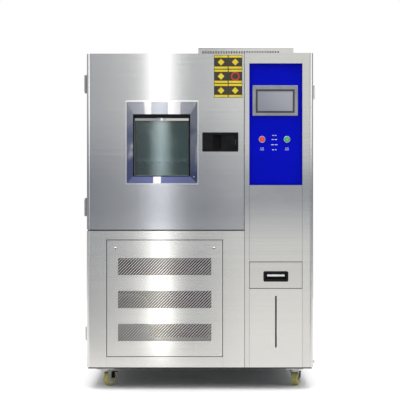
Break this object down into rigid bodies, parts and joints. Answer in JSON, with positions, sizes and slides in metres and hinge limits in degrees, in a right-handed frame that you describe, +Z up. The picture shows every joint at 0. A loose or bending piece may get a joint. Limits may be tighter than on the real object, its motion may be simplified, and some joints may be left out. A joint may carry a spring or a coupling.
{
  "type": "environmental test chamber",
  "caption": "Floor-standing temperature and humidity test chamber with a hinged glazed door, control column, water drawer and swivel casters.",
  "frame": {"origin": "on the floor under the middle of the cabinet", "axes": "+Z up, +X to the right of someone facing the door, -Y out of the front"},
  "size_m": [1.036, 1.008, 1.562],
  "materials": {
    "stainless": "satin stainless sheet, fine brushed grain",
    "galvanised": "galvanised sheet",
    "frame_black": "black painted tube",
    "panel_blue": "royal blue powder coat, satin",
    "screen_grey": "grey moulded plastic",
    "screen_glass": "unlit touch display, glossy",
    "ring_metal": "turned metal ring",
    "cap_red": "red translucent plastic",
    "cap_green": "green translucent plastic",
    "pull_black": "black moulded plastic",
    "tank_plastic": "natural white moulded plastic",
    "liner_steel": "bright stainless liner",
    "foam": "rigid foam insulation",
    "port_plastic": "white plastic sleeve",
    "motor_paint": "dark grey motor paint",
    "blower_metal": "aluminium wheel",
    "copper": "copper pipe and aluminium fins",
    "gasket_rubber": "black silicone rubber",
    "bezel_chrome": "mirror polished stainless bezel",
    "window_glass": "coated double glazing, faint green",
    "latch_black": "black moulded latch",
    "bolt_steel": "plated steel",
    "zinc": "zinc plated steel",
    "caster_tread": "pale olive polyurethane tread",
    "compressor_black": "black enamel",
    "white_plastic": "switchgear plastic"
  },
  "bodies": {
    "cabinet": {"base_frame": "frame_black", "inner_decks": "galvanised", "side_panels": "stainless", "back_panel": "stainless", "roof_panel": "stainless", "roof_vent_cover": "stainless", "column_frame": "stainless", "control_panel": "panel_blue", "screen_housing": "screen_grey", "screen_display": "screen_glass", "button_rings": "ring_metal", "blank_panel": "stainless", "sight_panel": "stainless", "drawer_runners": "galvanised", "water_tank": "tank_plastic", "lower_front_frame": "stainless", "service_cover": "stainless", "chamber_liner": "liner_steel", "chamber_insulation": "foam", "cable_port": "port_plastic", "air_duct_panel": "liner_steel", "blower_motor": "motor_paint", "conditioning_coils": "copper", "shelf_ledges": "liner_steel", "slotted_shelf": "liner_steel", "cabinet_hinges": "bolt_steel", "caster_plates": "zinc", "side_grips": "bezel_chrome", "drain_spigot": "bolt_steel", "compressor": "compressor_black", "condenser_coil": "copper", "fan_shroud": "galvanised", "electrical_plate": "white_plastic"},
    "door": {"door_skin": "stainless", "door_core": "foam", "door_liner": "liner_steel", "door_gasket": "gasket_rubber", "window_bezel": "bezel_chrome", "window_gasket": "gasket_rubber", "window_panes": "window_glass", "window_throat": "liner_steel", "latch_housing": "latch_black", "door_hinges": "bolt_steel"},
    "paddle": {"latch_paddle": "latch_black"},
    "bolt": {"latch_bolt": "bolt_steel"},
    "stop_button": {"stop_button": "cap_red"},
    "start_button": {"start_button": "cap_green"},
    "water_drawer": {"drawer_front": "stainless", "drawer_pull": "pull_black", "drawer_tray": "tank_plastic"},
    "blower": {"blower_wheel": "blower_metal"},
    "fan": {"condenser_fan": "blower_metal"},
    "fork_front_left": {"caster_fork_front_left": "zinc"},
    "wheel_front_left": {"caster_wheel_front_left": "caster_tread"},
    "fork_front_right": {"caster_fork_front_right": "zinc"},
    "wheel_front_right": {"caster_wheel_front_right": "caster_tread"},
    "fork_rear_left": {"caster_fork_rear_left": "zinc"},
    "wheel_rear_left": {"caster_wheel_rear_left": "caster_tread"},
    "fork_rear_right": {"caster_fork_rear_right": "zinc"},
    "wheel_rear_right": {"caster_wheel_rear_right": "caster_tread"}
  },
  "joints": [
    {"name": "door_swing", "type": "hinge", "parent": "cabinet", "child": "door", "pos_m": [-0.509, -0.437, 1.091], "axis": [0, 0, -1], "range_deg": [0, 120]},
    {"name": "paddle_pull", "type": "hinge", "parent": "door", "child": "paddle", "pos_m": [0.1505, -0.4975, 1.0895], "axis": [0, 0, 1], "range_deg": [0, 30]},
    {"name": "bolt_draw", "type": "slide", "parent": "door", "child": "bolt", "axis": [-1, 0, 0], "range_m": [0, 0.009]},
    {"name": "stop_press", "type": "slide", "parent": "cabinet", "child": "stop_button", "axis": [0, 1, 0], "range_m": [0, 0.0035], "stiffness_N_per_m": 400, "springref_m": -0.002},
    {"name": "start_press", "type": "slide", "parent": "cabinet", "child": "start_button", "axis": [0, 1, 0], "range_m": [0, 0.0035], "stiffness_N_per_m": 400, "springref_m": -0.002},
    {"name": "drawer_slide", "type": "slide", "parent": "cabinet", "child": "water_drawer", "axis": [0, -1, 0], "range_m": [0, 0.18]},
    {"name": "blower_spin", "type": "hinge", "parent": "cabinet", "child": "blower", "pos_m": [-0.1535, 0.139, 1.2], "axis": [0, 1, 0], "continuous": true},
    {"name": "fan_spin", "type": "hinge", "parent": "cabinet", "child": "fan", "pos_m": [-0.19, 0.386, 0.3235], "axis": [0, 1, 0], "continuous": true},
    {"name": "swivel_front_left", "type": "hinge", "parent": "cabinet", "child": "fork_front_left", "pos_m": [-0.423, -0.405, 0.0717], "axis": [0, 0, 1], "continuous": true},
    {"name": "roll_front_left", "type": "hinge", "parent": "fork_front_left", "child": "wheel_front_left", "pos_m": [-0.40462, -0.38661, 0.03], "axis": [0.7071, -0.7071, 0], "continuous": true},
    {"name": "swivel_front_right", "type": "hinge", "parent": "cabinet", "child": "fork_front_right", "pos_m": [0.423, -0.405, 0.0717], "axis": [0, 0, 1], "continuous": true},
    {"name": "roll_front_right", "type": "hinge", "parent": "fork_front_right", "child": "wheel_front_right", "pos_m": [0.43189, -0.38057, 0.03], "axis": [0.9397, -0.342, 0], "continuous": true},
    {"name": "swivel_rear_left", "type": "hinge", "parent": "cabinet", "child": "fork_rear_left", "pos_m": [-0.423, 0.405, 0.0717], "axis": [0, 0, 1], "continuous": true},
    {"name": "roll_rear_left", "type": "hinge", "parent": "fork_rear_left", "child": "wheel_rear_left", "pos_m": [-0.436, 0.42752, 0.03], "axis": [0.866, 0.5, 0], "continuous": true},
    {"name": "swivel_rear_right", "type": "hinge", "parent": "cabinet", "child": "fork_rear_right", "pos_m": [0.423, 0.405, 0.0717], "axis": [0, 0, 1], "continuous": true},
    {"name": "roll_rear_right", "type": "hinge", "parent": "fork_rear_right", "child": "wheel_rear_right", "pos_m": [0.42751, 0.43061, 0.03], "axis": [0.9848, -0.1736, 0], "continuous": true}
  ],
  "couplings": [
    {"joint": "bolt_draw", "follows": "paddle_pull", "m_per_rad": 0.017}
  ]
}
